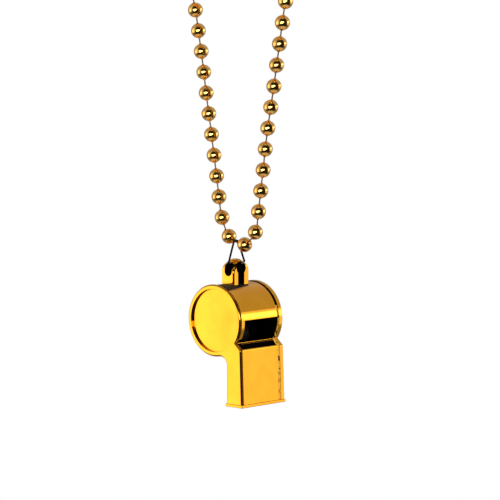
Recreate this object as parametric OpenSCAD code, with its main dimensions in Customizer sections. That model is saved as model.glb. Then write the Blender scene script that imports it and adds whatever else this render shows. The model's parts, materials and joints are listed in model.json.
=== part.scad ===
// Moulded pea whistle on a bead necklace. Millimetres, +Z up.
// The origin is the inside top of the stored necklace coil, where a peg holds it.
// The whistle faces -Y and its barrel lies along X.

/* [Whistle] */
// Outer radius of the two side plates
plate_r = 12.5; // [12:0.1:13]
// Half of the whistle's width
half_w = 10.82; // [10.5:0.02:11.2]
// Distance from the barrel's axis down to the mouthpiece's tip
tip_drop = 29.2; // [28:0.1:31]
// How far the plates stand out past the barrel
plate_step = 0.3; // [0.1:0.1:0.4]
// Thickness of the left plate's overhanging edge
plate_edge = 0.75; // [0.5:0.05:1]
// Thickness of the side cover
cover_t = 1.92; // [1.7:0.02:2.1]
// Radius of the round recess in each side
recess_r = 10.95; // [10:0.05:11.2]
// Depth of the round recess in each side
recess_d = 0.9; // [0.4:0.1:1]

/* [Chamber] */
// Inside radius of the chamber
chamber_r = 10.6; // [10.4:0.1:10.8]
// Thickness of the left wall
left_wall = 2.72; // [2.4:0.02:3]
// Depth of the cover's plug inside the chamber
plug_t = 0.4; // [0.3:0.1:0.8]
// Clearance round the cover's plug
plug_gap = 0.1; // [0.05:0.05:0.2]
// Diameter of the pea
pea_d = 10; // [8:0.5:10]
// Clearance between the pea and the chamber's wall
pea_gap = 0.2; // [0.1:0.05:0.5]

/* [Window] */
// Height of the window's top lip above the barrel's axis
lip_z = 0.7; // [0:0.1:2]
// Depth of the window's lower ledge below the barrel's axis
ledge_z = 7.07; // [6.5:0.01:7.2]

/* [Lug] */
// Half of the lug's width
lug_hw = 3.85; // [3.7:0.05:4]
// Thickness of the lug from front to back
lug_t = 5.65; // [5:0.05:6]
// Height of the lug's top above the barrel's axis
lug_top = 20.83; // [20.6:0.01:21]
// Thickness of the web between the front and back pockets
web_t = 3.9; // [3.5:0.1:4.2]
// Width of the pockets
pocket_w = 3; // [2.6:0.1:3.2]

/* [Ring] */
// Diameter of the ring's wire
wire_d = 0.7; // [0.5:0.05:0.8]

/* [Necklace] */
// Diameter of a bead
bead_d = 5.2; // [4.6:0.1:5.6]
// Distance along the thread from one bead to the next
bead_pitch = 7.3; // [7:0.1:7.4]
// Beads on each strand below the coil
strand_beads = 13; // [10:1:13]
// Diameter of the thread
thread_d = 0.5; // [0.3:0.1:0.5]
// Radius of the stored coil at the middle of its turns
coil_r = 30; // [29:0.5:31]
// Side of the square bundle of turns
bundle = 11.6; // [11:0.2:12]

/* [Tie] */
// Thickness of the twist tie's strip
tie_t = 0.6; // [0.4:0.1:1]
// Width of the twist tie's strip
tie_w = 3; // [2:0.5:5]

/* [Hidden] */
$fn = 96;
eps = 0.01;

function numbered(word) = [for (i = [1:strand_beads]) str(word, i)];

gold = [0.98, 0.80, 0.18];
old_gold = [0.72, 0.52, 0.14];

// Barrel and sides, along X
left_x = -half_w;
core_x = left_x + plate_edge;
seam_x = half_w - cover_t;
inner_x = left_x + left_wall;

// Mouthpiece, in the (y, z) plane
notch = [-10.1, -ledge_z];
front_top = [-12.74, -9.35];
front_tip_y = -13.45;
back_y = -5.95;
fillet_r = 3;
fillet_y = back_y + fillet_r;
fillet_z = -sqrt(pow(plate_r + fillet_r, 2) - pow(fillet_y, 2));
band_h = 1;
band_step = 0.25;
duct_front = -12.12;
duct_back = -10.35;
duct_flare_y = -7;
duct_flare_z = -24;
duct_neck_z = -13;

// Lug, in the (x, z) plane
arch_z = lug_top - lug_hw;
pocket_r = 2.25;
pocket_z = 17.65;
web_top = 18.8;
eye_r = 1.7;
eye_y = -0.25;
eye_low = 16.6;
eye_high = 18;
lug_base = 10.5;

// Ring, a closed wire in the plane y = ring_y, as (x, z)
ring_y = -0.6;
bend_d = wire_d + 0.04;
RING = [[-3.6, 19.3], [-3.95, 19.6], [-3.7, 20.3], [-1.5, 26.3], [-1, 26.85], [-0.2, 27.1],
    [0.5, 26.9], [0.9, 26.4], [3.65, 20.3], [3.9, 19.6], [3.6, 19.3]];

// The thread's route from the coil down the left strand, through the ring and up the right strand
ROUTE = [[-3, 28.8, 131], [-2.8, 25.4, 124.5], [-1.5, 22.3, 117.5], [-0.2, 19.9, 110], [0, 18.2, 102],
    [0, 16.9, 95], [0, 15.6, 88], [0, 14.5, 81], [0, 13.4, 74.5], [0, 12.2, 68], [0, 11.1, 61.5],
    [0, 10, 55], [-0.1, 8.8, 48.5], [-0.3, 7.6, 42.2], [-0.5, 6, 35], [-0.6, 2.7, 28.6], [0, -0.6, 26.45],
    [0.5, -4, 25.8], [0.1, -9.4, 30.3], [0.2, -10.8, 37.6], [0.3, -11.8, 45], [0.1, -13.1, 52.3],
    [0, -14.2, 59.6], [0, -15.4, 66.8], [0, -16.8, 74], [0, -18.2, 81.1], [0, -19.4, 88],
    [0, -20.7, 95], [0, -22, 102], [0.2, -23.4, 110], [1.5, -24.9, 117], [2.8, -26.8, 124.5], [3, -29, 131]];
bottom_bead = 17;
steps = 2;
sides = 8;

// Coil
coil_z = 147;
drop = coil_z + coil_r - bundle / 2;
tie_angle = 45;
tie_gap = 0.1;

nub_r = 0.95;
nub_end_r = 0.4;
nub_h = 0.8;
nub_sink = 0.25;

// One point of a Catmull-Rom curve through p, at t of the way from point i to the next
function blend(p, i, t) =
    let (a = p[max(i - 1, 0)], b = p[i], c = p[i + 1], d = p[min(i + 2, len(p) - 1)])
    (2 * b + (c - a) * t + (2 * a - 5 * b + 4 * c - d) * t * t + (3 * b - a - 3 * c + d) * t * t * t) / 2;
PATH = concat(
    [for (i = [0:len(ROUTE) - 2], k = [0:steps - 1]) blend(ROUTE, i, k / steps)],
    [ROUTE[len(ROUTE) - 1]]);
LENGTHS = [for (i = 0, sum = 0; i < len(PATH);
    sum = sum + (i < len(PATH) - 1 ? norm(PATH[i + 1] - PATH[i]) : 0), i = i + 1) sum];

function segment(s) = max([for (k = [0:len(LENGTHS) - 2]) if (LENGTHS[k] <= s) k]);
function place(s) =
    let (i = segment(s), t = (s - LENGTHS[i]) / (LENGTHS[i + 1] - LENGTHS[i]))
    PATH[i] + (PATH[i + 1] - PATH[i]) * t;
function unit(v) = v / norm(v);
function heading(i) = unit(PATH[min(i + 1, len(PATH) - 1)] - PATH[max(i - 1, 0)]);

// Moves a shape from the barrel's axis to its place below the hang point
module hung() {
    translate([0, 0, -drop]) children();
}

// Extrudes a (y, z) outline along X
module along_x(from, to) {
    translate([from, 0, 0]) rotate([90, 0, 90]) linear_extrude(to - from) children();
}

// Extrudes an (x, z) outline along Y
module along_y(from, to) {
    translate([0, to, 0]) rotate([90, 0, 0]) linear_extrude(to - from) children();
}

module round_x(r, from, to) {
    translate([from, 0, 0]) rotate([0, 90, 0]) cylinder(r = r, h = to - from);
}

// The whistle's side outline, smaller by inset
module side_outline(inset) {
    circle(r = plate_r - inset);
    polygon([[0, -ledge_z], [notch[0] + inset, notch[1]], [front_top[0] + inset, front_top[1]],
        [front_tip_y + inset, -tip_drop], [back_y - inset, -tip_drop], [back_y - inset, fillet_z], [0, fillet_z / 2]]);
    difference() {
        polygon([[back_y - inset, fillet_z], [back_y - 1, fillet_z / 2], [0, fillet_z / 2],
            [fillet_y, fillet_z] * (plate_r - inset) / (plate_r + fillet_r)]);
        translate([fillet_y, fillet_z]) circle(r = fillet_r + inset);
    }
}

// The air duct's outline, smaller by inset
module duct_outline(inset) {
    polygon([[duct_back - inset, -ledge_z + 0.2 - 2 * inset], [duct_front + inset, -ledge_z + 0.2 - 2 * inset],
        [duct_front + inset, front_top[1]], [duct_front + inset - 0.7, -tip_drop - 1 + 12 * inset],
        [duct_flare_y - inset, -tip_drop - 1 + 12 * inset], [duct_flare_y - inset, duct_flare_z],
        [duct_back - inset, duct_neck_z]]);
}

module tip_band(from, to) {
    translate([from, front_tip_y - band_step, -tip_drop])
        cube([to - from, back_y - front_tip_y + 2 * band_step, band_h]);
}

// The lug's arch in the (x, z) plane
module arch_outline() {
    translate([0, arch_z]) circle(r = lug_hw);
    translate([-lug_hw, lug_base]) square([2 * lug_hw, arch_z - lug_base]);
}

// The lug's side in the (y, z) plane, with a round top
module lug_side() {
    translate([0, lug_top - lug_t / 2]) circle(r = lug_t / 2);
    translate([-lug_t / 2, lug_base]) square([lug_t, lug_top - lug_t / 2 - lug_base]);
}

module pocket_outline() {
    translate([0, pocket_z]) circle(r = pocket_r);
    translate([-pocket_w / 2, plate_r - plate_step - 0.4])
        square([pocket_w, pocket_z - plate_r + plate_step]);
}

module eye(from, to) {
    for (z = [eye_low, eye_high]) translate([0, eye_y, z]) round_x(eye_r, from, to);
    translate([from, eye_y - eye_r, eye_low]) cube([to - from, 2 * eye_r, eye_high - eye_low]);
}

// The lug, cored from the front and the back, with an eye on each side that goes through above the web
module lug() {
    out = 2 * lug_hw;
    difference() {
        intersection() {
            along_y(-lug_t / 2, lug_t / 2) arch_outline();
            along_x(-lug_hw, lug_hw) lug_side();
        }
        along_y(-lug_t, -web_t / 2) pocket_outline();
        along_y(web_t / 2, lug_t) pocket_outline();
        eye(-out, -pocket_r);
        eye(pocket_r, out);
        intersection() {
            union() {
                along_y(-lug_t, lug_t) pocket_outline();
                eye(-out, out);
            }
            translate([-out, -out, web_top]) cube([2 * out, 2 * out, out]);
        }
    }
}

module body_shell() {
    color(gold) hung() difference() {
        union() {
            along_x(left_x, core_x) side_outline(0);
            along_x(core_x, seam_x) side_outline(plate_step);
            tip_band(left_x - band_step, seam_x);
            lug();
        }
        round_x(recess_r, left_x - 1, left_x + recess_d);
        round_x(chamber_r, inner_x, seam_x + 1);
        along_x(inner_x, seam_x + 1) duct_outline(0);
        translate([inner_x, -plate_r - 1, -ledge_z])
            cube([seam_x + 1 - inner_x, plate_r - 4, ledge_z + lip_z]);
        along_x(inner_x, seam_x + 1) polygon([[-11.8, lip_z - eps], [-9.4, lip_z - eps], [-9.4, lip_z + 2.4]]);
    }
}

module side_cover() {
    color(gold) hung() {
        difference() {
            union() {
                along_x(seam_x, half_w) side_outline(0);
                tip_band(seam_x, half_w + band_step);
            }
            round_x(recess_r, half_w - recess_d, half_w + 1);
        }
        round_x(chamber_r - plug_gap, seam_x - plug_t, seam_x + eps);
        along_x(seam_x - plug_t, seam_x + eps) intersection() {
            duct_outline(plug_gap);
            side_outline(plate_step + plug_gap);
        }
    }
}

module pea() {
    color([0.12, 0.09, 0.06]) hung()
        translate([0, 0, -(chamber_r - pea_gap - pea_d / 2)]) sphere(d = pea_d);
}

module link_ring() {
    color([0.2, 0.18, 0.15]) hung() translate([0, ring_y, 0]) for (i = [0:len(RING) - 1]) {
        a = RING[i];
        b = RING[(i + 1) % len(RING)];
        translate([a[0], 0, a[1]]) {
            sphere(d = bend_d);
            rotate([0, atan2(b[0] - a[0], b[1] - a[1]), 0]) cylinder(d = wire_d, h = norm(b - a));
        }
    }
}

module thread() {
    points = [for (i = [0:len(PATH) - 1]) let (u = cross(heading(i), [1, 0, 0]), n = unit(u), m = cross(n, heading(i)))
        for (k = [0:sides - 1]) PATH[i] + thread_d / 2 * (cos(360 * k / sides) * n + sin(360 * k / sides) * m)];
    last = (len(PATH) - 1) * sides;
    color(old_gold) hung() polyhedron(points, concat(
        [[for (k = [0:sides - 1]) k]],
        [for (i = [0:len(PATH) - 2], k = [0:sides - 1]) let (j = (k + 1) % sides)
            [i * sides + j, i * sides + k, (i + 1) * sides + k, (i + 1) * sides + j]],
        [[for (k = [sides - 1:-1:0]) last + k]]));
}

// A bead and the two cones where the thread leaves it, the bead being s along the thread
module bead(s) {
    v = unit(place(s + 1) - place(s - 1));
    color(old_gold) hung() translate(place(s)) rotate([0, acos(v[2]), atan2(v[1], v[0])]) {
        sphere(d = bead_d);
        for (turn = [0, 180]) rotate([turn, 0, 0]) translate([0, 0, bead_d / 2 - nub_sink])
            cylinder(r1 = nub_r, r2 = nub_end_r, h = nub_h);
    }
}

module bead_bottom() {
    bead(LENGTHS[bottom_bead * steps]);
}

module bead_left(i) {
    bead(LENGTHS[bottom_bead * steps] - i * bead_pitch);
}

module bead_right(i) {
    bead(LENGTHS[bottom_bead * steps] + i * bead_pitch);
}

// Turns about the coil's own axis, which lies along X
module about_coil() {
    translate([0, 0, coil_z - drop]) rotate([90, 0, 90]) children();
}

module necklace_coil() {
    color(old_gold) about_coil() rotate_extrude() translate([coil_r, 0]) square(bundle, center = true);
}

module twist_tie() {
    inner = bundle + 2 * tie_gap;
    outer = inner + 2 * tie_t;
    sweep = tie_w / coil_r * 180 / PI;
    color("white") about_coil() rotate([0, 0, tie_angle]) {
        rotate([0, 0, -sweep / 2]) rotate_extrude(angle = sweep) translate([coil_r, 0]) difference() {
            square(outer, center = true);
            square(inner, center = true);
        }
        for (side = [-1, 1]) translate([coil_r + outer / 2 - eps, side * tie_t, 0])
            rotate([0, 90, side * 8]) cylinder(d = tie_t * 1.5, h = 9);
    }
}

body_shell();
side_cover();
pea();
link_ring();
thread();
necklace_coil();
twist_tie();
bead_bottom();
for (i = [1:strand_beads]) {
    bead_left(i);
    bead_right(i);
}
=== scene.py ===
"""Looks of a gold pea whistle on a bead necklace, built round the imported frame.

Shapes are worked out in millimetres about the barrel's axis, and moved to the frame when they are
finished. Angles are in degrees.
"""
import json
import math

import bmesh
import bpy
from mathutils import Matrix, Vector, noise

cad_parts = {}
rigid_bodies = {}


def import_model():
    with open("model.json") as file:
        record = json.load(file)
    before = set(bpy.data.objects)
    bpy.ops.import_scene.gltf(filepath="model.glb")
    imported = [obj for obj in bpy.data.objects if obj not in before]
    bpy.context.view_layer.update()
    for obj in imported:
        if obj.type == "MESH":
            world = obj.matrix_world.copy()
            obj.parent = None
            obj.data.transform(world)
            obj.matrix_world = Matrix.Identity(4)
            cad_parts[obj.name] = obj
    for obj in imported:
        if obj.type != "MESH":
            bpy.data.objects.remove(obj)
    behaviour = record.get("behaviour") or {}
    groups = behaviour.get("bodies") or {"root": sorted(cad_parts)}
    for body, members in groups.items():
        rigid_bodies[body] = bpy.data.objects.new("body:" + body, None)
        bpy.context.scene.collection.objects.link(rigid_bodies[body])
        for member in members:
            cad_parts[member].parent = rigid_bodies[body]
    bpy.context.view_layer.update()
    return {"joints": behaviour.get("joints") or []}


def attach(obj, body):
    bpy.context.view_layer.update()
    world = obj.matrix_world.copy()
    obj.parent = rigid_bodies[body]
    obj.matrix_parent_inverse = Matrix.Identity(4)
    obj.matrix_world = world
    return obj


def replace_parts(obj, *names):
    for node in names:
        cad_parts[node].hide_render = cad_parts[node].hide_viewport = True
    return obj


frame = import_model()
joints = {j["name"]: j for j in frame["joints"]}
MM = 0.001
BARREL = Vector(joints["pea_roll"]["pos_m"])  # the barrel's axis, where the pea turns
TO_FRAME = Matrix.Translation(BARREL) @ Matrix.Scale(MM, 4)

# ---------------------------------------------------------------- camera

CAMERA_AT = Vector((-659.3, -627.8, 109.7))
LOOKS_AT = Vector((5.1, -2.2, 23.5))
LENS_MM = 189.9


def make_camera():
    data = bpy.data.cameras.new("camera")
    data.lens = LENS_MM
    data.sensor_width = 36
    data.clip_start = 0.01
    data.clip_end = 50
    camera = bpy.data.objects.new("camera", data)
    camera.location = TO_FRAME @ CAMERA_AT
    camera.rotation_euler = (LOOKS_AT - CAMERA_AT).to_track_quat("-Z", "Y").to_euler()
    bpy.context.scene.collection.objects.link(camera)
    bpy.context.scene.camera = camera


make_camera()

# ---------------------------------------------------------------- sizes, in millimetres

PLATE_R = 12.5
# Across the whistle: the left plate, the core between the plates, the seam and the right cover
HALF_W = 10.82
LEFT_X = -HALF_W
CORE_X = LEFT_X + 0.62
SEAM_X = 8.9
INNER_X = -8.1
PLUG_X = SEAM_X - 0.4
HEAD_X = PLUG_X - 0.25
PLUG_GAP = 0.1
# How far the core, its groove and the seam lie inside the plates' outline
CORE_INSET = 0.3
GROOVE_INSET = 0.44
SEAM_INSET = 0.37
SEAM_RING = 0.75
# Rounded edges
PLATE_ROUND = 0.75
COVER_ROUND = 0.18
COVER_FACE_ROUND = 0.4
BAND_ROUND = 0.22
BODY_BEVEL = 0.1
COVER_BEVEL = 0.08
# The round recess in each side, the chamber, and the window's top and bottom
RECESS_R = 10.95
RECESS_D = 0.9
RECESS_CROWN = 0.14
CHAMBER_R = 10.6
LIP_Z = 0.7
LEDGE_Z = -7.07
# The mouthpiece's outline and duct in (y, z), and the proud band round its tip
TIP_Z = -29.2
NOTCH = (-10.1, LEDGE_Z)
FRONT_TOP = (-12.74, -9.35)
FRONT_TIP_Y = -13.45
BACK_Y = -5.95
FILLET_R = 3.0
FILLET_Y = BACK_Y + FILLET_R
FILLET_Z = -math.sqrt((PLATE_R + FILLET_R) ** 2 - FILLET_Y**2)
BAND_H = 1.0
BAND_STEP = 0.25
DUCT = [(-10.3, -6.87), (-12.12, -6.87), (-12.12, -9.35), (-12.82, -31), (-7, -31), (-7, -24), (-10.35, -13),
        (-10.35, -7.55)]
# The lug, whose dome starts at LUG_ARCH_Z across and LUG_SIDE_Z through, with its pockets, web and eyes
LUG_HW = 3.85
LUG_T = 5.65
LUG_ARCH_Z = 16.98
LUG_SIDE_Z = 18.005
LUG_BASE = 10.5
LUG_ROUNDS = (0.6, 0.3)
LUG_FOOT = 11.6
POCKET_R = 2.25
POCKET_Z = 17.65
POCKET_HW = 1.5
WEB_HT = 1.95
WEB_TOP = 18.8
EYE_R = 1.7
EYE_Y = -0.25
EYE_Z = (16.6, 18.0)
# The patch of painted shade round the lug's foot
FOOT_X = 4.1
FOOT_HW = 5.6
FOOT_SLANT = 0.15
FOOT_FADE = (1.5, 2.3)
# The wire ring in (x, z), the pea, the beads, the thread and the stored coil
RING_Y = -0.6
RING = [(-3.6, 19.3), (-3.95, 19.6), (-3.7, 20.3), (-1.5, 26.3), (-1, 26.85), (-0.2, 27.1),
        (0.5, 26.9), (0.9, 26.4), (3.65, 20.3), (3.9, 19.6), (3.6, 19.3)]
WIRE_R = 0.35
PEA_R = 5.0
PEA_Z = -5.4
BEAD_R = 2.6
BEAD_PITCH = 7.3
STRAND_BEADS = 13
THREAD_D = 0.5
COIL_Z = 147.0
COIL_RADII = (33.0, 27.0)
COIL_X = 3.0
COIL_START = -29.0
COIL_END = 1289.0
COIL_STEPS = 330
ARC_STEP = 2.0

# The thread's route from the coil down the left strand, through the ring and up the right strand
ROUTE = [
    (-3, 28.8, 131), (-2.8, 25.4, 124.5), (-1.5, 22.3, 117.5), (-0.2, 19.9, 110), (0, 18.2, 102),
    (0, 16.9, 95), (0, 15.6, 88), (0, 14.5, 81), (0, 13.4, 74.5), (0, 12.2, 68), (0, 11.1, 61.5),
    (0, 10, 55), (-0.1, 8.8, 48.5), (-0.3, 7.6, 42.2), (-0.5, 6, 35), (-0.6, 2.7, 28.6), (0, -0.6, 26.45),
    (0.5, -4, 25.8), (0.1, -9.4, 30.3), (0.2, -10.8, 37.6), (0.3, -11.8, 45), (0.1, -13.1, 52.3),
    (0, -14.2, 59.6), (0, -15.4, 66.8), (0, -16.8, 74), (0, -18.2, 81.1), (0, -19.4, 88),
    (0, -20.7, 95), (0, -22, 102), (0.2, -23.4, 110), (1.5, -24.9, 117), (2.8, -26.8, 124.5), (3, -29, 131),
]
BOTTOM_BEAD = 17

# ---------------------------------------------------------------- mesh tools


def eased(value, low, high):
    """How far value is from low to high, from 0 to 1 and slow at both ends."""
    t = min(max((value - low) / (high - low), 0), 1)
    return t * t * (3 - 2 * t)


def to_object(name, bm):
    """A new object from a bmesh, still in the barrel's millimetres."""
    bmesh.ops.recalc_face_normals(bm, faces=bm.faces)
    mesh = bpy.data.meshes.new(name)
    bm.to_mesh(mesh)
    bm.free()
    made = bpy.data.objects.new(name, mesh)
    bpy.context.scene.collection.objects.link(made)
    return made


def place_mesh(obj):
    """Moves a finished mesh from the barrel's millimetres to the frame."""
    obj.data.transform(TO_FRAME)
    return obj


def loft(name, rings):
    """A solid through rings of points that match one to one."""
    bm = bmesh.new()
    rows = [[bm.verts.new(p) for p in ring] for ring in rings]
    count = len(rings[0])
    for low, high in zip(rows, rows[1:]):
        for i in range(count):
            j = (i + 1) % count
            bm.faces.new((low[i], low[j], high[j], high[i]))
    bm.faces.new(rows[0])
    bm.faces.new(rows[-1])
    return to_object(name, bm)


def prism_x(name, outline, start, end):
    return loft(name, [[(x, y, z) for y, z in outline] for x in (start, end)])


def prism_y(name, outline, start, end):
    return loft(name, [[(x, y, z) for x, z in outline] for y in (start, end)])


def arc(cy, cz, radius, start, end, step=ARC_STEP):
    """Points along an arc."""
    count = max(2, round(abs(end - start) / step))
    turns = [math.radians(start + (end - start) * i / count) for i in range(count + 1)]
    return [(cy + radius * math.cos(t), cz + radius * math.sin(t)) for t in turns]


def round_x(name, radius, start, end):
    """A cylinder round the barrel's axis."""
    return prism_x(name, arc(0, 0, radius, 0, 360)[:-1], start, end)


def box(name, low, high):
    outline = [(low[1], low[2]), (high[1], low[2]), (high[1], high[2]), (low[1], high[2])]
    return prism_x(name, outline, low[0], high[0])


def applied(obj):
    """Turns an object's modifiers into its mesh."""
    graph = bpy.context.evaluated_depsgraph_get()
    mesh = bpy.data.meshes.new_from_object(obj.evaluated_get(graph))
    obj.modifiers.clear()
    old = obj.data
    obj.data = mesh
    bpy.data.meshes.remove(old)
    return obj


def combine(obj, other, operation):
    """Joins other to obj, or cuts it away, and throws other away."""
    change = obj.modifiers.new("change", "BOOLEAN")
    change.solver = "EXACT"
    change.operation = operation
    change.object = other
    applied(obj)
    bpy.data.objects.remove(other)
    return obj


def cut(obj, *tools):
    for tool in tools:
        combine(obj, tool, "DIFFERENCE")
    return obj


def add(obj, *others):
    for other in others:
        combine(obj, other, "UNION")
    return obj


def tidy(obj):
    """Merges near points and flat neighbours that the cuts leave behind."""
    bm = bmesh.new()
    bm.from_mesh(obj.data)
    bmesh.ops.remove_doubles(bm, verts=bm.verts, dist=0.004)
    bmesh.ops.dissolve_limit(bm, angle_limit=math.radians(0.05), verts=bm.verts, edges=bm.edges)
    bm.to_mesh(obj.data)
    bm.free()
    return obj


def soften(obj, width, segments=2, angle=32):
    """Rounds every edge sharper than angle."""
    bevel = obj.modifiers.new("bevel", "BEVEL")
    bevel.width = width
    bevel.segments = segments
    bevel.limit_method = "ANGLE"
    bevel.angle_limit = math.radians(angle)
    bevel.use_clamp_overlap = False
    bevel.miter_outer = "MITER_ARC"
    return applied(obj)


def smooth(obj, angle=40):
    """Smooth shading that keeps flat faces flat."""
    for face in obj.data.polygons:
        face.use_smooth = True
    obj.data.set_sharp_from_angle(angle=math.radians(angle))
    weighted = obj.modifiers.new("weighted", "WEIGHTED_NORMAL")
    weighted.keep_sharp = True
    return applied(obj)


def dress(obj, *materials):
    obj.data.materials.clear()
    for material in materials:
        obj.data.materials.append(material)
    return obj

# ---------------------------------------------------------------- node tools


def node(tree, kind, inputs=None, **settings):
    """A shader node; inputs are values, or sockets to link."""
    made = tree.nodes.new(kind)
    for key, value in settings.items():
        setattr(made, key, value)
    for key, value in (inputs or {}).items():
        if isinstance(value, bpy.types.NodeSocket):
            tree.links.new(value, made.inputs[key])
        else:
            made.inputs[key].default_value = value
    return made


def ramp(tree, value, low, high, to_low=0.0, to_high=1.0):
    """value, from low to high, eased to to_low and to_high."""
    inputs = {"Value": value, "From Min": low, "From Max": high, "To Min": to_low, "To Max": to_high}
    return node(tree, "ShaderNodeMapRange", inputs, interpolation_type="SMOOTHSTEP").outputs[0]


def maths(tree, operation, first, second=0.0):
    return node(tree, "ShaderNodeMath", {0: first, 1: second}, operation=operation).outputs[0]


def mix_colours(tree, share, first, second):
    made = node(tree, "ShaderNodeMix", data_type="RGBA")
    for key, value in ((0, share), (6, first), (7, second)):
        if isinstance(value, bpy.types.NodeSocket):
            tree.links.new(value, made.inputs[key])
        else:
            made.inputs[key].default_value = value
    return made.outputs[2]


def spots(tree, place, size_mm, detail=2.0, roughness=0.5):
    """Noise whose features are about size_mm across."""
    inputs = {"Vector": place, "Scale": 1000 / size_mm, "Detail": detail, "Roughness": roughness}
    return node(tree, "ShaderNodeTexNoise", inputs).outputs[0]


def bump(tree, height, depth_mm, normal=None):
    inputs = {"Height": height, "Distance": depth_mm * MM, "Strength": 1.0}
    if normal:
        inputs["Normal"] = normal
    return node(tree, "ShaderNodeBump", inputs).outputs[0]


def new_material(name):
    material = bpy.data.materials.new(name)
    material.use_nodes = True
    tree = material.node_tree
    place = node(tree, "ShaderNodeTexCoord").outputs["Object"]
    return material, tree, tree.nodes["Principled BSDF"], place


def link(tree, socket, shader, name):
    tree.links.new(socket, shader.inputs[name])


# ---------------------------------------------------------------- materials

GOLD = [1.0, 0.43, 0.027, 1]
GOLD_SHADE_AND_SPECKS = [0.02, 0.009, 0.002, 1]
BEAD_GOLD = [0.95, 0.52, 0.13, 1]
BEAD_SHADE_AND_SPECKS = [0.12, 0.075, 0.03, 1]
FOOT_SHADE_DARK = [0.004, 0.002, 0.001, 1]
GAP_DARK = [0.008, 0.004, 0.002, 1]
GLUE_GOLD = [0.95, 0.5, 0.05, 1]
WIRE_DARK = [0.015, 0.013, 0.011, 1]
WIRE_GREY = [0.05, 0.044, 0.038, 1]
PEEL_DEPTH = 0.0005


def squares_root(tree, first, second):
    """The length of a line from its two sides."""
    total = maths(tree, "ADD", maths(tree, "POWER", first, 2), maths(tree, "POWER", second, 2))
    return maths(tree, "SQRT", total)


def painted_foot_shade(tree, place):
    """1 on the barrel's top round the lug's foot, where a patch of shade is painted."""
    parts = node(tree, "ShaderNodeSeparateXYZ", {0: place})
    across, through, up = (maths(tree, "MULTIPLY", parts.outputs[i], 1 / MM) for i in range(3))
    off_middle = maths(tree, "ABSOLUTE", maths(tree, "ADD", across, FOOT_X))
    beside = maths(tree, "MAXIMUM", maths(tree, "SUBTRACT", off_middle, FOOT_HW), 0)
    slant = maths(tree, "MULTIPLY", across, FOOT_SLANT)
    slanted = maths(tree, "ADD", maths(tree, "ABSOLUTE", through), slant)
    before = maths(tree, "MAXIMUM", maths(tree, "SUBTRACT", slanted, LUG_T / 2), 0)
    height = maths(tree, "SUBTRACT", up, BARREL.z / MM)
    radius = squares_root(tree, through, height)
    core = PLATE_R - CORE_INSET
    above_core = ramp(tree, radius, core - 0.12, core - 0.1)
    below_lug = ramp(tree, radius, core + 0.03, core + 0.08, 1, 0)
    on_core = maths(tree, "MULTIPLY", above_core, below_lug)
    on_top = maths(tree, "MULTIPLY", on_core, maths(tree, "GREATER_THAN", height, 0))
    return maths(tree, "MULTIPLY", on_top, ramp(tree, squares_root(tree, beside, before), *FOOT_FADE, 1, 0))


def metallised(name, bright, shade_and_specks, polish, wave_mm, wave_depth, corner_shade_mm, foot=False):
    """Vacuum-metallised plastic: a mirror coat, a little wavy, uneven and worn, with painted shade in its
    corners, and with foot a patch of painted shade round the lug's foot.
    """
    material, tree, shader, place = new_material(name)
    tone = ramp(tree, spots(tree, place, 6, 3), 0.35, 0.65)
    coat = mix_colours(tree, tone, bright, [c * 0.93 for c in bright[:3]] + [1])
    # Painted shade: the coat darkens to its shade colour in corners, creases and recesses, found by ambient
    # occlusion
    corners = node(tree, "ShaderNodeAmbientOcclusion", {"Distance": corner_shade_mm * MM}, samples=12)
    coat = mix_colours(tree, ramp(tree, corners.outputs["AO"], 0.3, 0.72), shade_and_specks, coat)
    if foot:
        # Painted shade: round the lug's foot the coat turns near black, dull and not metallic
        foot_shade = painted_foot_shade(tree, place)
        coat = mix_colours(tree, foot_shade, coat, FOOT_SHADE_DARK)
    specks = ramp(tree, spots(tree, place, 0.45, 2), 0.71, 0.76)
    coat = mix_colours(tree, maths(tree, "MULTIPLY", specks, 0.35), coat, shade_and_specks)
    link(tree, coat, shader, "Base Color")
    shader.inputs["Metallic"].default_value = 1.0
    cloud = ramp(tree, spots(tree, place, 2.5, 4, 0.6), 0.3, 0.75, polish, polish + 0.07)
    dulled = maths(tree, "ADD", cloud, maths(tree, "MULTIPLY", specks, 0.25))
    if foot:
        dulled = maths(tree, "ADD", dulled, maths(tree, "MULTIPLY", foot_shade, 0.5))
        link(tree, maths(tree, "SUBTRACT", 1, foot_shade), shader, "Metallic")
    link(tree, dulled, shader, "Roughness")
    waves = bump(tree, spots(tree, place, wave_mm, 1), wave_depth)
    peel = bump(tree, spots(tree, place, 0.35, 2), PEEL_DEPTH, waves)
    link(tree, peel, shader, "Normal")
    return material


def plain_plastic(name, colour, darker, roughness, grain_mm, shine=0.5):
    """Moulded plastic with a fine grain."""
    material, tree, shader, place = new_material(name)
    shader.inputs["Specular IOR Level"].default_value = shine
    tone = spots(tree, place, grain_mm * 6, 3)
    link(tree, mix_colours(tree, tone, darker, colour), shader, "Base Color")
    grain = spots(tree, place, grain_mm, 3)
    link(tree, ramp(tree, grain, 0.2, 0.8, roughness - 0.08, roughness + 0.08), shader, "Roughness")
    link(tree, bump(tree, grain, grain_mm * 0.02), shader, "Normal")
    return material


def seam_glue():
    """The gap beside a plate: dark, with metallised glue that has run across it in places."""
    material, tree, shader, place = new_material("seam_gap")
    runs = ramp(tree, spots(tree, place, 1.3, 2, 0.6), 0.41, 0.46)
    link(tree, mix_colours(tree, runs, GAP_DARK, GLUE_GOLD), shader, "Base Color")
    shader.inputs["Roughness"].default_value = 0.3
    return material


def drawn_wire():
    """Darkened steel wire with fine marks along its length."""
    material, tree, shader, place = new_material("darkened_wire")
    marks = spots(tree, place, 0.25, 4, 0.7)
    link(tree, mix_colours(tree, marks, WIRE_DARK, WIRE_GREY), shader, "Base Color")
    shader.inputs["Metallic"].default_value = 1.0
    link(tree, ramp(tree, marks, 0.2, 0.8, 0.22, 0.45), shader, "Roughness")
    link(tree, bump(tree, marks, 0.01), shader, "Normal")
    return material


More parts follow.
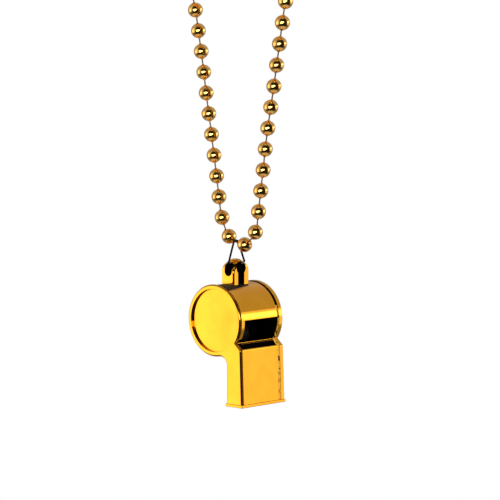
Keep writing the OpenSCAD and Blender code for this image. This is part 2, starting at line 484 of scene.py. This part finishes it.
gold = metallised("gold_coat", GOLD, GOLD_SHADE_AND_SPECKS, 0.04, 9.0, 0.035, 1.8, foot=True)
bead_gold = metallised("bead_coat", BEAD_GOLD, BEAD_SHADE_AND_SPECKS, 0.06, 2.5, 0.012, 0.8)
seam = seam_glue()
# Near-black plastic for painted shade inside the whistle and in the grooves beside the plates
shade_dark = plain_plastic("painted_shade_dark", [0.002, 0.0013, 0.0008, 1], [0.001, 0.0007, 0.0004, 1], 0.7, 0.3, 0.02)
pea_plastic = plain_plastic("pea_plastic", [0.016, 0.012, 0.009, 1], [0.007, 0.005, 0.004, 1], 0.6, 0.4, 0.15)
tie_plastic = plain_plastic("tie_paper", [0.82, 0.81, 0.78, 1], [0.7, 0.69, 0.66, 1], 0.5, 0.3)
thread_coat = plain_plastic("thread_coat", [0.19, 0.14, 0.085, 1], [0.07, 0.045, 0.025, 1], 0.4, 0.12)
wire_steel = drawn_wire()

# ---------------------------------------------------------------- whistle


def bent(before, corner, after, radius):
    """A corner as a curve that leaves its two edges radius from the corner."""
    count = 5
    before, corner, after = Vector(before), Vector(corner), Vector(after)
    start = corner + (before - corner).normalized() * radius
    end = corner + (after - corner).normalized() * radius
    turns = [i / count for i in range(count + 1)]
    return [tuple(start * (1 - t) ** 2 + corner * 2 * t * (1 - t) + end * t * t) for t in turns]


def side_outline(inset):
    """The whistle's side in (y, z), smaller by inset, always with the same number of points."""
    radius = PLATE_R - inset
    notch = Vector((NOTCH[0] + inset, NOTCH[1]))
    front = Vector((FRONT_TOP[0] + inset, FRONT_TOP[1]))
    tip_front = (FRONT_TIP_Y + inset, TIP_Z)
    tip_back = (BACK_Y - inset, TIP_Z)
    fillet = (BACK_Y - inset, FILLET_Z)
    slope = front - notch
    b, c = notch.dot(slope), notch.dot(notch) - radius**2
    reach = (-b + math.sqrt(b * b - slope.dot(slope) * c)) / slope.dot(slope)
    meet = notch + slope * max(reach, 0)
    first = math.degrees(math.atan2(meet[1], meet[0])) % 360
    last = math.degrees(math.atan2(FILLET_Z, FILLET_Y))
    points = arc(0, 0, radius, first, last, (first - last) / 158)
    points += arc(FILLET_Y, FILLET_Z, FILLET_R + inset, last + 180, 180, last / -26)[1:]
    points += bent(fillet, tip_back, tip_front, 0.15)
    points += bent(tip_back, tip_front, front, 0.15)
    points += bent(tip_front, front, meet, 0.3)
    return points


def inside(outline, y, z):
    """Whether a point is inside an outline."""
    crossings = 0
    for (y0, z0), (y1, z1) in zip(outline, outline[1:] + outline[:1]):
        if (z0 > z) != (z1 > z) and y < (y1 - y0) * (z - z0) / (z1 - z0) + y0:
            crossings += 1
    return crossings % 2 == 1


def rim(at, direction, radius, count=4, sweep=90):
    """Stations (x, inset) that round an outline's edge from a flat face at x = at, inward along direction."""
    turns = [math.radians(sweep * i / count) for i in range(count + 1)]
    return [(at + direction * radius * (1 - math.cos(t)), radius * (1 - math.sin(t))) for t in turns]


def from_stations(name, stations):
    """The whistle's side outline, swept through stations (x, inset)."""
    return loft(name, [[(x, y, z) for y, z in side_outline(inset)] for x, inset in stations])


def recess_tool(at, direction):
    """Cuts the round recess, whose floor is slightly crowned."""
    steps = 10
    floor = [(RECESS_R * i / steps, RECESS_D - RECESS_CROWN * (1 + math.cos(math.pi * i / steps)) / 2)
             for i in range(1, steps + 1)]
    rings = []
    for radius, depth in floor + [(RECESS_R, -1)]:
        rings.append([(at + direction * depth, y, z) for y, z in arc(0, 0, radius, 0, 360)[:-1]])
    return loft("recess", rings)


def band(name, start, end):
    """The proud lip round the mouthpiece's tip, cut off square at the seam."""
    over = 1.0
    low_x, high_x = (start, end + over) if start < 0 else (start - over, end)
    made = box(name, (low_x, FRONT_TIP_Y - BAND_STEP, TIP_Z), (high_x, BACK_Y + BAND_STEP, TIP_Z + BAND_H))
    soften(made, BAND_ROUND, 4, 40)
    low_cut, high_cut = (end, end + 2 * over) if start < 0 else (start - 2 * over, start)
    return cut(made, box("off", (low_cut, -20, TIP_Z - 1), (high_cut, 0, TIP_Z + 3)))


def lug_reach(z):
    """The lug's half width and half thickness at height z, where its top is a dome."""
    across = math.sqrt(max(LUG_HW**2 - max(z - LUG_ARCH_Z, 0) ** 2, 0))
    through = math.sqrt(max((LUG_T / 2) ** 2 - max(z - LUG_SIDE_Z, 0) ** 2, 0))
    return across, through


def round_section(across, through, radii, z):
    """A rounded rectangle about the lug's centre line, whose corners have two radii in turn."""
    ring = []
    count = 7
    for sx, sy, first in ((1, 1, 0), (-1, 1, 90), (-1, -1, 180), (1, -1, 270)):
        radius = radii[0] if sx == sy else radii[1]
        for k in range(count):
            t = math.radians(first + 90 * k / (count - 1))
            ring.append((sx * (across - radius) + radius * math.cos(t),
                         sy * (through - radius) + radius * math.sin(t), z))
    return ring


def pocket_line(grow):
    """The outline of the lug's front and back pockets in (x, z)."""
    half = POCKET_HW + grow
    turn = math.degrees(math.acos(half / (POCKET_R + grow)))
    round_top = arc(0, POCKET_Z, POCKET_R + grow, -turn, 180 + turn, 4)
    return round_top + [(-half, LUG_FOOT), (half, LUG_FOOT)]


def eye_line(grow):
    """The outline of the lug's eye in (y, z)."""
    return arc(EYE_Y, EYE_Z[1], EYE_R + grow, 0, 180, 5) + arc(EYE_Y, EYE_Z[0], EYE_R + grow, 180, 360, 5)


def lug():
    """The domed lug: pockets in front and behind, and an eye on each side that goes through above the web."""
    heights = [LUG_BASE, 12, 13.5, 15, 16, LUG_ARCH_Z]
    heights += [LUG_ARCH_Z + LUG_HW * math.sin(math.radians(5 * k)) for k in range(1, 17)]
    rings = []
    for z in heights:
        across, through = lug_reach(z)
        full = 0.98 * min(across, through)
        early = eased(z, LUG_ARCH_Z - 0.4, LUG_ARCH_Z + 1.5)
        late = eased(z, LUG_ARCH_Z, LUG_ARCH_Z + LUG_HW)
        radii = [plain + (full - plain) * share for plain, share in zip(LUG_ROUNDS, (early, late))]
        rings.append(round_section(across, through, radii, z))
    made = loft("lug", rings)
    out = 2 * LUG_HW
    pocket, eye = pocket_line(0), eye_line(0)
    cut(made, prism_y("front_pocket", pocket, -out, -WEB_HT), prism_y("back_pocket", pocket, WEB_HT, out),
        prism_x("left_eye", eye, -out, -POCKET_R), prism_x("right_eye", eye, POCKET_R, out))
    for tool in (prism_y("above", pocket, -out, out), prism_x("through", eye, -out, out)):
        over_web = box("top", (-out, -out, WEB_TOP), (out, out, 30))
        cut(made, combine(tool, over_web, "INTERSECT"))
    return made


def in_chamber(x, y, z):
    return x > INNER_X - 0.05 and math.hypot(y, z) < CHAMBER_R + 0.05


DUCT_LINE = [(-10.42, -6.8), (-12.2, -6.8), (-12.2, -9.35), (-12.75, -27), (-6.9, -27), (-6.9, -24),
             (-10.25, -13), (-10.25, -7.6), (-10.42, -7.57)]
GROOVE_LINE = side_outline(CORE_INSET + 0.03)
SEAM_LINE = side_outline(SEAM_RING + 0.01)
POCKET_LINE = pocket_line(0.06)
EYE_LINE = eye_line(0.06)


def in_lug(x, y, z):
    """Whether a point is inside one of the lug's pockets or eyes."""
    if not LUG_FOOT + 0.5 < z < POCKET_Z + POCKET_R + 0.1:
        return False
    across, through = lug_reach(z)
    in_pocket = inside(POCKET_LINE, x, z) and abs(y) < through - 0.2
    in_eye = inside(EYE_LINE, y, z) and abs(x) < across - 0.2
    return in_pocket or in_eye


def shaded_inside(x, y, z):
    """Whether a point is in the chamber, the duct or inside the lug, whose faces are painted near black as
    shade.
    """
    return in_chamber(x, y, z) or x > INNER_X - 0.05 and inside(DUCT_LINE, y, z) or in_lug(x, y, z)


def in_groove(x, y, z):
    """Whether a point is in the shallow groove beside the plate, or in the seam's."""
    at_groove = CORE_X - 0.02 < x < CORE_X + 0.62 or SEAM_X - 0.66 < x < SEAM_X + 0.02
    return at_groove and math.hypot(y, z) > RECESS_R + 0.2 and inside(GROOVE_LINE, y, z)


def is_glued(x, y, z):
    """Whether a point is in the seam's groove on the mouthpiece, where glue has run out."""
    return x > 0 and z < 4.5 and in_groove(x, y, z)


def paint(obj, index, test):
    """Gives material number index to the faces that test picks, in the barrel's millimetres."""
    for face in obj.data.polygons:
        if test(*face.center):
            face.material_index = index


def body_shell():
    stations = rim(LEFT_X, 1, PLATE_ROUND, 7, 76) + [
        (CORE_X, 0.05), (CORE_X + 0.03, GROOVE_INSET), (CORE_X + 0.56, GROOVE_INSET),
        (CORE_X + 0.6, CORE_INSET + 0.06), (CORE_X + 0.65, CORE_INSET + 0.02), (CORE_X + 0.72, CORE_INSET),
        (SEAM_X - 0.7, CORE_INSET), (SEAM_X - 0.6, SEAM_INSET), (SEAM_X, SEAM_INSET)]
    made = from_stations("whistle_body", stations)
    add(made, band("body_band", LEFT_X - BAND_STEP, SEAM_X), lug())
    window = box("window", (INNER_X, -14, LEDGE_Z), (SEAM_X + 1, -6, LIP_Z))
    lip = [(-11.8, LIP_Z - 0.01), (-9.4, LIP_Z - 0.01), (-9.4, LIP_Z + 2.4)]
    cut(made, recess_tool(LEFT_X, 1), round_x("chamber", CHAMBER_R, INNER_X, SEAM_X + 1),
        prism_x("duct", DUCT, INNER_X, SEAM_X + 1), window, prism_x("lip", lip, INNER_X, SEAM_X + 1))
    smooth(soften(tidy(made), BODY_BEVEL))
    dress(made, gold, shade_dark, seam)
    # The grooves are a dark joint and painted shade; the chamber, duct and lug's pockets and eyes are painted
    # shade
    paint(made, 1, in_groove)
    paint(made, 2, is_glued)
    paint(made, 1, shaded_inside)
    return place_mesh(made)


def side_cover():
    stations = [(SEAM_X + 0.03, SEAM_RING)] + rim(SEAM_X, 1, COVER_ROUND, 6)
    stations += rim(HALF_W, -1, COVER_FACE_ROUND, 6)[::-1]
    made = from_stations("whistle_cover", stations)
    add(made, band("cover_band", SEAM_X, HALF_W + BAND_STEP))
    cut(made, recess_tool(HALF_W, -1))
    plug = round_x("plug", CHAMBER_R - PLUG_GAP, PLUG_X, SEAM_X + 0.3)
    duct = [(-10.45, -7.2), (-10.6, -7.8), (-12.02, -9.1), (-12.02, -9.35), (-12.7, -29), (-7.1, -29),
            (-7.1, -24.1), (-10.45, -13.1)]
    head = [(-10.55, -7.4), (-10.7, -7.9), (-11.9, -9.15), (-11.9, -10.5), (-10.55, -10.5)]
    duct_plug = prism_x("duct_plug", duct, PLUG_X, SEAM_X + 0.3)
    add(made, plug, duct_plug, prism_x("plug_head", head, HEAD_X, PLUG_X + 0.1))
    smooth(soften(tidy(made), COVER_BEVEL))
    dress(made, gold, shade_dark, seam)
    # Painted shade: the cover's plug and its inner face are near black
    paint(made, 1, lambda x, y, z: HEAD_X + 0.1 < x < SEAM_X + 0.04 and z > -28)
    paint(made, 2, lambda x, y, z: x < SEAM_X + 0.04 and z < 4.5 and not inside(SEAM_LINE, y, z))
    return place_mesh(made)


def pea_ball():
    """A moulded ball with a slight flash line round it."""
    rings = []
    count = 40
    for i in range(1, count):
        t = math.pi * i / count
        flash = 0.05 * math.exp(-((i - count / 2) / 0.7) ** 2)
        radius = (PEA_R - 0.05 + flash) * math.sin(t)
        rings.append([(radius * math.cos(a), radius * math.sin(a), (PEA_R - 0.05) * math.cos(t))
                      for a in (math.radians(6 * k) for k in range(60))])
    made = loft("pea_ball", rings)
    made.data.transform(Matrix.Translation((0, 0, PEA_Z)) @ Matrix.Rotation(0.6, 4, "Y"))
    dress(smooth(made), pea_plastic)
    return place_mesh(made)


whistle_body = body_shell()
whistle_cover = side_cover()
pea = pea_ball()
for piece, cad_node, body, slot in ((whistle_body, "body_shell", "whistle", "gold_plastic"),
                                    (whistle_cover, "side_cover", "whistle", "gold_plastic"),
                                    (pea, "pea", "pea", "pea")):
    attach(piece, body)
    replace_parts(piece, cad_node)

# ---------------------------------------------------------------- ring


def flow(points, steps):
    """Points along a smooth curve through points, steps to each stretch."""
    made = []
    last = len(points) - 1
    for i in range(last):
        a, b, c, d = (Vector(points[k]) for k in (max(i - 1, 0), i, i + 1, min(i + 2, last)))
        for t in (k / steps for k in range(steps)):
            made.append((2 * b + (c - a) * t + (2 * a - 5 * b + 4 * c - d) * t**2
                         + (3 * b - a - 3 * c + d) * t**3) / 2)
    return made + [Vector(points[last])]


def flat_tube(name, points, side, radius):
    """A round wire through points that lie in one plane, whose normal is side."""
    rings = []
    count = 16
    for i, point in enumerate(points):
        ahead = (points[min(i + 1, len(points) - 1)] - points[max(i - 1, 0)]).normalized()
        across = ahead.cross(side)
        shrink = 0.55 if i in (0, len(points) - 1) else 1
        rings.append([point + radius * shrink * (across * math.cos(t) + side * math.sin(t))
                      for t in (2 * math.pi * k / count for k in range(count))])
    return loft(name, rings)


def wire_ring():
    """The bent wire ring, whose two ends meet inside the lug's eye."""
    end_gap = 0.12
    low_z = RING[0][1]
    corners = [(end_gap, low_z), (1.6, low_z), (3.1, low_z)] + RING[:0:-1]
    corners += [(-3.1, low_z), (-1.6, low_z), (-end_gap, low_z)]
    bends = [(x, RING_Y, z) for x, z in corners if abs(x) < 3.59 or z > low_z]
    line = flow(bends, 6)
    line = [line[0]] + [line[0] + (line[1] - line[0]) * 0.3] + line[1:-1] \
        + [line[-1] + (line[-2] - line[-1]) * 0.3] + [line[-1]]
    made = smooth(flat_tube("wire_ring", line, Vector((0, 1, 0)), WIRE_R), 60)
    dress(made, wire_steel)
    return place_mesh(made)


ring = wire_ring()
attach(ring, "ring")
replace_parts(ring, "link_ring")

# ---------------------------------------------------------------- necklace


def coil_point(turn):
    """Four turns in a square bundle: wide, narrow, across to the other side, narrow, wide."""
    wide, narrow = COIL_RADII
    share = eased(turn, 225, 315) - eased(turn, 945, 1035)
    crossing = eased(turn, 585, 675)
    dip = 1.8 * math.sin(math.pi * min(max((turn - 585) / 90, 0), 1))
    radius = wide + (narrow - wide) * share - dip
    angle = math.radians(turn)
    return Vector((COIL_X * (2 * crossing - 1), radius * math.cos(angle), COIL_Z + radius * math.sin(angle)))


class Walk:
    """Places at a distance along a line of points."""

    def __init__(self, points):
        self.points = points
        self.lengths = [0.0]
        for a, b in zip(points, points[1:]):
            self.lengths.append(self.lengths[-1] + (b - a).length)
        self.total = self.lengths[-1]

    def at(self, distance):
        distance = min(max(distance, 0), self.total)
        i = max(k for k in range(len(self.lengths) - 1) if self.lengths[k] <= distance)
        share = (distance - self.lengths[i]) / (self.lengths[i + 1] - self.lengths[i])
        return self.points[i].lerp(self.points[i + 1], share)

    def heading(self, distance):
        return (self.at(distance + 1) - self.at(distance - 1)).normalized()


def bead_rings(seed):
    """A bead moulded on its thread: a ball with a faint flash line, and a cone where the thread leaves."""
    nub_r, nub_end_r, nub_end, half = 0.62, 0.28, BEAD_R + 0.3, 16
    start = math.asin(nub_r / BEAD_R)
    profile = [(-nub_end - 0.03, nub_end_r * 0.6), (-nub_end, nub_end_r), (-nub_end + 0.06, nub_end_r + 0.05)]
    for i in range(2 * half + 1):
        t = start + (math.pi - 2 * start) * i / (2 * half)
        profile.append((-BEAD_R * math.cos(t), BEAD_R * math.sin(t)))
    profile += [(-along, radius) for along, radius in profile[2::-1]]
    count = 36
    rings = []
    for along, radius in profile:
        ring = []
        for k in range(count):
            t = 2 * math.pi * k / count
            seam = 0.035 * math.exp(-((k % 18) / 0.6) ** 2) if radius > nub_r else 0
            spot = Vector((seed * 7.3, math.cos(t) * 0.7, math.sin(t) * 0.7 + along * 0.3))
            wide = radius * (1 + 0.006 * noise.noise(spot)) + seam * radius / BEAD_R
            ring.append((wide * math.cos(t), wide * math.sin(t), along))
        rings.append(ring)
    return rings


def make_bead(name, place, heading, seed):
    made = loft(name, bead_rings(seed))
    spin = Matrix.Rotation(2.4 * seed, 4, "Z")
    along_thread = heading.to_track_quat("Z", "X").to_matrix().to_4x4()
    made.data.transform(Matrix.Translation(place) @ along_thread @ spin)
    return made


def finish_bead(made):
    smooth(made, 50)
    dress(made, bead_gold)
    place_mesh(made)
    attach(made, "necklace")
    return made


def joined(name, objects):
    """One object from many."""
    bm = bmesh.new()
    for obj in objects:
        bm.from_mesh(obj.data)
        bpy.data.objects.remove(obj)
    return to_object(name, bm)


strands = Walk(flow(ROUTE, 2))
bottom_at = strands.lengths[2 * BOTTOM_BEAD]
strand_beads = [("bead_bottom", 0)]
for number in range(1, STRAND_BEADS + 1):
    strand_beads += [(f"bead_left_{number}", -number), (f"bead_right_{number}", number)]
for bead_name, number in strand_beads:
    distance = bottom_at + number * BEAD_PITCH
    bead = make_bead(f"gold_{bead_name}", strands.at(distance), strands.heading(distance), number)
    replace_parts(finish_bead(bead), bead_name)

# The whole loop: from the bottom bead up the right strand, round the coil and down the left strand
FINE = 6
smooth_route = flow(ROUTE, FINE)
turns = [coil_point(COIL_END + (COIL_START - COIL_END) * i / COIL_STEPS) for i in range(COIL_STEPS + 1)]
loop = Walk(smooth_route[BOTTOM_BEAD * FINE:-1] + turns + smooth_route[1:BOTTOM_BEAD * FINE + 1])
strand = STRAND_BEADS * BEAD_PITCH
gaps = round((loop.total - 2 * strand) / BEAD_PITCH)
coil_pitch = (loop.total - 2 * strand) / gaps
coil_beads = []
for number in range(1, gaps):
    distance = strand + number * coil_pitch
    coil_beads.append(make_bead(f"coil_bead_{number}", loop.at(distance), loop.heading(distance), number))
finish_bead(joined("gold_coil_beads", coil_beads))


def curve_thread():
    curve = bpy.data.curves.new("bead_thread", "CURVE")
    curve.dimensions = "3D"
    curve.bevel_depth = THREAD_D * MM / 2
    curve.bevel_resolution = 3
    spline = curve.splines.new("POLY")
    spline.points.add(len(loop.points) - 1)
    for point, place in zip(spline.points, loop.points):
        point.co = (*(TO_FRAME @ place), 1)
    made = bpy.data.objects.new("bead_thread", curve)
    bpy.context.scene.collection.objects.link(made)
    curve.materials.append(thread_coat)
    return made


thread = curve_thread()
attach(thread, "necklace")
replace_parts(thread, "thread", "necklace_coil")

# ---------------------------------------------------------------- twist tie

TIE_ANGLE = math.radians(45)
TIE_OUT = 5.95
TIE_W = 3.0
TIE_T = 0.22
TWIST_LENGTH = 4.5
TAIL_LENGTH = 8.6


def tie_stations():
    """Centre, width direction and normal along the strip, in (radial, x, tangent) about the bundle."""
    def tail(side, out):
        turn = 2.2 * math.pi * eased(out, 0.3, TWIST_LENGTH)
        spread = 0.16 + 0.3 * max(out - TWIST_LENGTH, 0) ** 1.1
        normal = Vector((0, side * math.cos(turn), side * math.sin(turn)))
        width = Vector((0, -math.sin(turn), math.cos(turn)))
        narrow = 1 - 0.35 * eased(out, 0, 0.8)
        return Vector((TIE_OUT + out, 0, 0)) + normal * spread, width, normal, narrow

    outs = [TAIL_LENGTH * k / 36 for k in range(1, 37)]
    stations = [tail(1, out) for out in reversed(outs)]
    bend_r = 2.0
    inner = TIE_OUT - bend_r
    for sx, sy, first in ((1, 1, 0), (-1, 1, 90), (-1, -1, 180), (1, -1, 270)):
        for k in range(9):
            t = math.radians(first + 90 * k / 8)
            normal = Vector((math.cos(t), math.sin(t), 0))
            centre = Vector((sx * inner, sy * inner, 0))
            stations.append((centre + normal * bend_r, Vector((0, 0, 1)), normal, 1))
    return stations + [tail(-1, out) for out in outs]


def twist_tie():
    """A paper strip with a wire down its middle."""
    half, flat, ridge = TIE_W / 2, TIE_T / 2, TIE_T / 2 + 0.16
    section = [(-half, flat), (-0.42, flat), (-0.2, ridge), (0.2, ridge), (0.42, flat), (half, flat),
               (half, -flat), (0.42, -flat), (0.2, -ridge), (-0.2, -ridge), (-0.42, -flat), (-half, -flat)]
    rings = [[centre + width * (w * narrow) + normal * n for w, n in section]
             for centre, width, normal, narrow in tie_stations()]
    made = loft("paper_twist_tie", rings)
    radial = Vector((0, math.cos(TIE_ANGLE), math.sin(TIE_ANGLE)))
    tangent = Vector((0, -math.sin(TIE_ANGLE), math.cos(TIE_ANGLE)))
    turn = Matrix((radial, (1, 0, 0), tangent)).transposed().to_4x4()
    centre = Vector((0, 0, COIL_Z)) + radial * sum(COIL_RADII) / 2
    made.data.transform(Matrix.Translation(centre) @ turn)
    smooth(made, 60)
    dress(made, tie_plastic)
    return place_mesh(made)


tie = twist_tie()
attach(tie, "necklace")
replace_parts(tie, "twist_tie")

# ---------------------------------------------------------------- light

TO_CAMERA = (-0.724, -0.689, 0)
TO_RIGHT = (0.686, -0.728, 0)
# The lamp's place as degrees from the camera's side, then its distance, length, height and slant
LAMP_SIDE = -9
LAMP_RISE = 1
LAMP_AWAY = 1500
LAMP_LONG = 1500
LAMP_HIGH = 640
LAMP_SLANT = 24
LAMP_LEVEL = 5


def dot(tree, vector, axis):
    return node(tree, "ShaderNodeVectorMath", {0: vector, 1: axis}, operation="DOT_PRODUCT").outputs["Value"]


def between(tree, value, low, high, edge):
    """1 between low and high, with soft edges."""
    rise = ramp(tree, value, low - edge / 2, low + edge / 2)
    fall = ramp(tree, value, high - edge / 2, high + edge / 2, 1, 0)
    return maths(tree, "MULTIPLY", rise, fall)


def painted(tree, light, share, level):
    """light, replaced by level where share is 1."""
    made = node(tree, "ShaderNodeMix", {0: share, 2: light, 3: level}, data_type="FLOAT")
    return made.outputs[0]


# Each panel: from and to in degrees round from the camera, from and to in degrees up, its level, and how
# soft its upright and level edges are. A level of four numbers runs from side to side.
PANELS = [
    (79, 122, -19, 17, (88, 98, 1.4, 1.05), 3, 2),
    (79, 122, -1, 13, 2.3, 3, 2),
    (79, 122, 4, 10, 4, 3, 2),
    (-104, -66, 8, 31, 1.0, 3, 2),
    (-104, -66, -20, 12, (-95, -79, 2.25, 1.4), 3, 2),
    (148, 212, -14, 24, 0.35, 12, 2),
    (-212, -148, -14, 24, 0.35, 12, 2),
    (-52, 74, -48, 60, 0.02, 8, 8),
    (-44, 22, 1, 15, (-50, -10, 0.9, 3.0), 8, 2),
]
DIFFUSE_LEVEL = 0.6
BACKDROP_LEVEL = 1.0


def studio():
    """A studio of soft panels that the gold reflects, with a white backdrop behind the object."""
    world = bpy.data.worlds.new("studio")
    bpy.context.scene.world = world
    world.use_nodes = True
    tree = world.node_tree
    toward = node(tree, "ShaderNodeTexCoord").outputs["Generated"]
    up = node(tree, "ShaderNodeSeparateXYZ", {0: toward}).outputs["Z"]
    to_degrees = math.degrees(1)
    rise = maths(tree, "MULTIPLY", maths(tree, "ARCSINE", up), to_degrees)
    side = maths(tree, "ARCTAN2", dot(tree, toward, TO_RIGHT), dot(tree, toward, TO_CAMERA))
    side = maths(tree, "MULTIPLY", side, to_degrees)
    light = ramp(tree, maths(tree, "ABSOLUTE", side), 85, 105, 0.1, 0.3)
    light = painted(tree, light, ramp(tree, rise, -60, -47, 1, 0), 0.65)
    light = painted(tree, light, ramp(tree, rise, -26, -20), 0.5)
    light = painted(tree, light, ramp(tree, rise, 60, 76), 0.2)
    for left, right, low, high, level, side_edge, rise_edge in PANELS:
        share = maths(tree, "MULTIPLY", between(tree, side, left, right, side_edge),
                      between(tree, rise, low, high, rise_edge))
        light = painted(tree, light, share, ramp(tree, side, *level) if isinstance(level, tuple) else level)
    ray = node(tree, "ShaderNodeLightPath")
    light = painted(tree, light, ray.outputs["Is Diffuse Ray"], DIFFUSE_LEVEL)
    light = painted(tree, light, ray.outputs["Is Camera Ray"], BACKDROP_LEVEL)
    tree.links.new(light, tree.nodes["Background"].inputs["Strength"])
    tree.nodes["Background"].inputs["Color"].default_value = (1, 1, 1, 1)


def bead_lamp():
    """A long slanted lamp behind the camera that only the beads are turned to catch."""
    azimuth, rise = math.radians(LAMP_SIDE), math.radians(LAMP_RISE)
    level = Vector(TO_CAMERA) * math.cos(azimuth) + Vector(TO_RIGHT) * math.sin(azimuth)
    toward = (level * math.cos(rise) + Vector((0, 0, math.sin(rise)))).normalized()
    data = bpy.data.lights.new("bead_lamp", "AREA")
    data.shape = "ELLIPSE"
    data.size = LAMP_LONG * MM
    data.size_y = LAMP_HIGH * MM
    data.energy = LAMP_LEVEL * math.pi * (math.pi / 4 * data.size * data.size_y)
    lamp = bpy.data.objects.new("bead_lamp", data)
    lamp.location = TO_FRAME @ (Vector((0, 0, 60)) + toward * LAMP_AWAY)
    slant = Matrix.Rotation(math.radians(LAMP_SLANT), 3, "Z")
    lamp.rotation_euler = (toward.to_track_quat("Z", "Y").to_matrix() @ slant).to_euler()
    lamp.visible_camera = False
    bpy.context.scene.collection.objects.link(lamp)
    beads = bpy.data.collections.new("lamp_catches")
    for obj in bpy.data.objects:
        if obj.name.startswith("gold_"):
            beads.objects.link(obj)
    lamp.light_linking.receiver_collection = beads


def key_light():
    """A soft light from above, for the plain plastics and the floor."""
    data = bpy.data.lights.new("key", "AREA")
    data.size = 0.6
    data.energy = 6
    light = bpy.data.objects.new("key", data)
    light.location = TO_FRAME @ Vector((-300, -500, 900))
    toward = TO_FRAME @ Vector((0, 0, 40)) - light.location
    light.rotation_euler = toward.to_track_quat("-Z", "Y").to_euler()
    light.visible_glossy = False
    bpy.context.scene.collection.objects.link(light)


def floor():
    """The floor far below the hanging whistle, out of the main view."""
    half, low = 900, -400
    made = prism_x("floor", [(-half, low - 2), (half, low - 2), (half, low), (-half, low)], -half, half)
    material, tree, shader, place = new_material("pale_floor")
    tone = spots(tree, place, 40, 3)
    link(tree, mix_colours(tree, tone, [0.86, 0.86, 0.86, 1], [0.88, 0.88, 0.88, 1]), shader, "Base Color")
    shader.inputs["Roughness"].default_value = 0.7
    dress(made, material)
    place_mesh(made)
    made.visible_glossy = False


studio()
bead_lamp()
key_light()
floor()
bpy.context.scene.view_settings.view_transform = "Standard"
